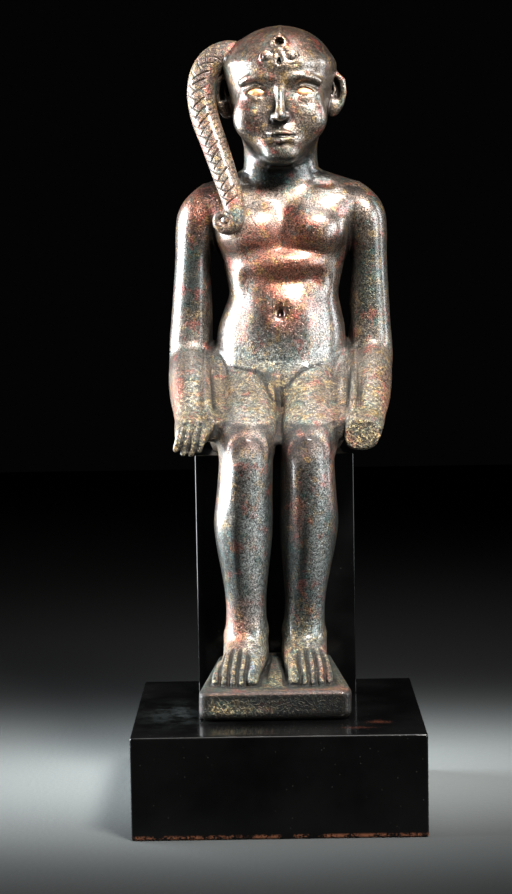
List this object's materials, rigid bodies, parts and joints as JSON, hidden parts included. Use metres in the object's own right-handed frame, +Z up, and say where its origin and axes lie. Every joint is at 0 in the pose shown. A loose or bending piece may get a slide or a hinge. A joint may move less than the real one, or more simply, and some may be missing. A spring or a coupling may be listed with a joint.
{
  "type": "seated harpocrates figure",
  "caption": "Seated bronze figure of a child god with a plaited side lock, arms at the sides and feet on a sloping rest, held up by a black seat block on a black base.",
  "frame": {"origin": "centre of the base block's underside", "axes": "+Z up; the figure faces -Y; +X is on its left-hand side"},
  "size_m": [0.1, 0.1188, 0.2787],
  "materials": {
    "bronze": "dark brown bronze with red-brown, grey-green and ochre patina, satin",
    "gold_inlay": "dull gold leaf",
    "seat_lacquer": "black lacquer, polished",
    "base_lacquer": "black lacquer, polished, worn brown at the edges"
  },
  "bodies": {
    "root": {"bronze_figure": "bronze", "right_eye_inlay": "gold_inlay", "left_eye_inlay": "gold_inlay", "seat_block": "seat_lacquer", "base_block": "base_lacquer"}
  },
  "joints": []
}
